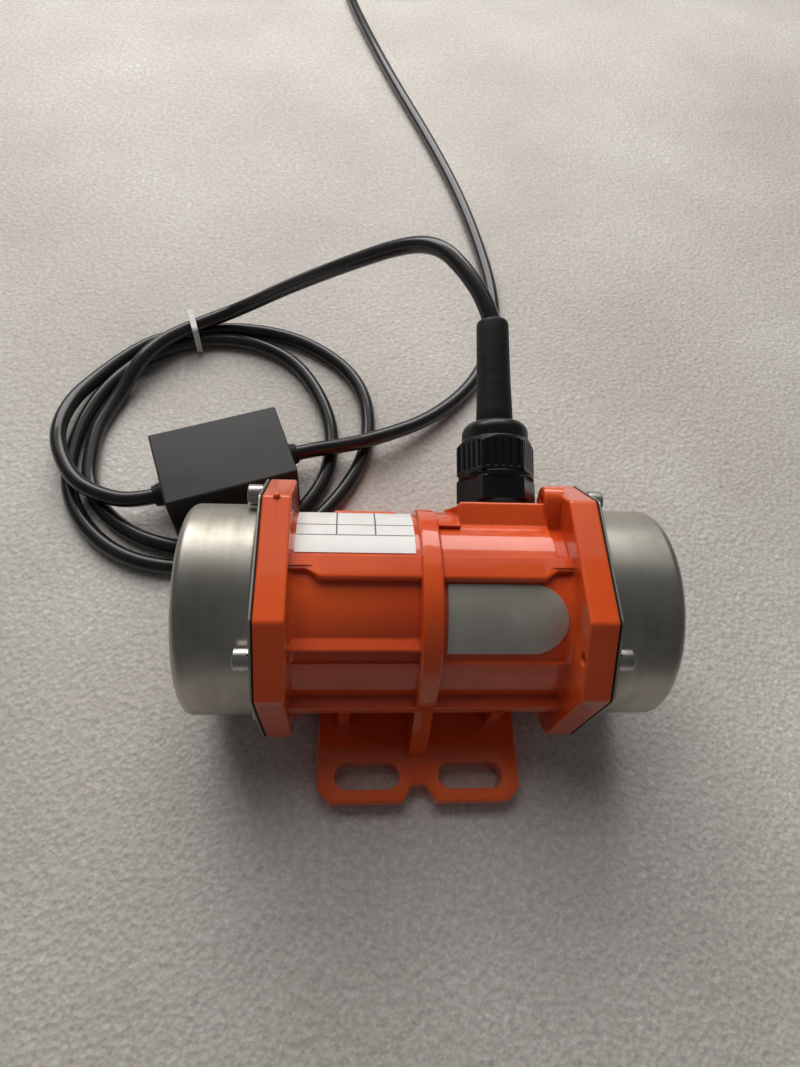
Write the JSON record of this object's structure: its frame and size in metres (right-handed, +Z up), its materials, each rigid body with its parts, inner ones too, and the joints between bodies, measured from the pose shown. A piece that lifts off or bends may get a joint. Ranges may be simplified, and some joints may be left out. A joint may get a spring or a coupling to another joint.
{
  "type": "vibration motor",
  "caption": "Foot-mounted vibration motor with steel end caps, an eccentric-weight rotor, a rear cable gland, a looped lead with an in-line capacitor box, and a mains plug.",
  "frame": {"origin": "underside of the foot, at the centre of its four slots", "axes": "+X along the rotor axis, +Y towards the cable gland, +Z up from the foot"},
  "size_m": [0.2835, 0.6848, 0.0889],
  "materials": {
    "housing_paint": "gloss",
    "shield_metal": "satin",
    "screw_steel": "satin",
    "gasket_rubber": "matte",
    "cap_steel": "satin",
    "core_steel": "matte",
    "copper_winding": "satin",
    "bearing_steel": "polished",
    "shaft_steel": "satin",
    "rotor_aluminium": "satin",
    "weight_steel": "satin",
    "gland_nylon": "satin",
    "sleeve_rubber": "matte",
    "tie_nylon": "satin",
    "cable_pvc": "gloss",
    "nameplate_metal": "satin",
    "label_film": "satin",
    "box_plastic": "satin",
    "capacitor_case": "satin",
    "plug_plastic": "satin",
    "pin_brass": "satin"
  },
  "bodies": {
    "motor_frame": {"bearing_outer_left": "bearing_steel", "bearing_outer_right": "bearing_steel", "box_base": "box_plastic", "box_entry_lead": "cable_pvc", "box_grommets": "sleeve_rubber", "cable_entry": "cable_pvc", "cable_sleeve": "sleeve_rubber", "cable_tie": "tie_nylon", "cap_left": "cap_steel", "cap_right": "cap_steel", "cap_screws": "screw_steel", "cap_washers": "screw_steel", "capacitor_box": "box_plastic", "end_shield_left": "shield_metal", "end_shield_right": "shield_metal", "gasket_left": "gasket_rubber", "gasket_right": "gasket_rubber", "gland_body": "gland_nylon", "gland_nut": "gland_nylon", "gland_seal": "gasket_rubber", "gland_washer": "gasket_rubber", "housing": "housing_paint", "mains_cable_coil": "cable_pvc", "mains_cable_lead": "cable_pvc", "motor_cable_lead": "cable_pvc", "motor_cable_loops": "cable_pvc", "nameplate": "nameplate_metal", "plug_body": "plug_plastic", "plug_lead": "cable_pvc", "plug_pins": "pin_brass", "rating_label": "label_film", "run_capacitor": "capacitor_case", "shield_screws": "screw_steel", "stator_core": "core_steel", "stator_winding": "copper_winding"},
    "rotor": {"shaft": "shaft_steel", "rotor_core": "core_steel", "rotor_end_rings": "rotor_aluminium", "bearing_inner_left": "bearing_steel", "bearing_inner_right": "bearing_steel", "weight_spacers": "shaft_steel", "fixed_weight_left": "weight_steel", "fixed_weight_right": "weight_steel", "fixed_weight_screws": "screw_steel", "thrust_washers": "shaft_steel", "retaining_clips": "shaft_steel"},
    "adjustable_left": {"adjustable_weight_left": "weight_steel", "adjustable_weight_screw_left": "screw_steel"},
    "adjustable_right": {"adjustable_weight_right": "weight_steel", "adjustable_weight_screw_right": "screw_steel"},
    "cage_left": {"bearing_balls_left": "bearing_steel"},
    "cage_right": {"bearing_balls_right": "bearing_steel"}
  },
  "joints": [
    {"name": "rotor_spin", "type": "hinge", "parent": "motor_frame", "child": "rotor", "pos_m": [0, 0, 0.0395], "axis": [1, 0, 0], "continuous": true},
    {"name": "weight_adjust_left", "type": "hinge", "parent": "rotor", "child": "adjustable_left", "pos_m": [-0.066, 0, 0.0395], "axis": [1, 0, 0], "range_deg": [0, 180]},
    {"name": "weight_adjust_right", "type": "hinge", "parent": "rotor", "child": "adjustable_right", "pos_m": [0.066, 0, 0.0395], "axis": [1, 0, 0], "range_deg": [0, 180]},
    {"name": "cage_turn_left", "type": "hinge", "parent": "motor_frame", "child": "cage_left", "pos_m": [-0.0475, 0, 0.0395], "axis": [1, 0, 0], "continuous": true},
    {"name": "cage_turn_right", "type": "hinge", "parent": "motor_frame", "child": "cage_right", "pos_m": [0.0475, 0, 0.0395], "axis": [1, 0, 0], "continuous": true}
  ],
  "couplings": [
    {"joint": "cage_turn_left", "follows": "rotor_spin", "ratio": 0.3659},
    {"joint": "cage_turn_right", "follows": "rotor_spin", "ratio": 0.3659}
  ]
}
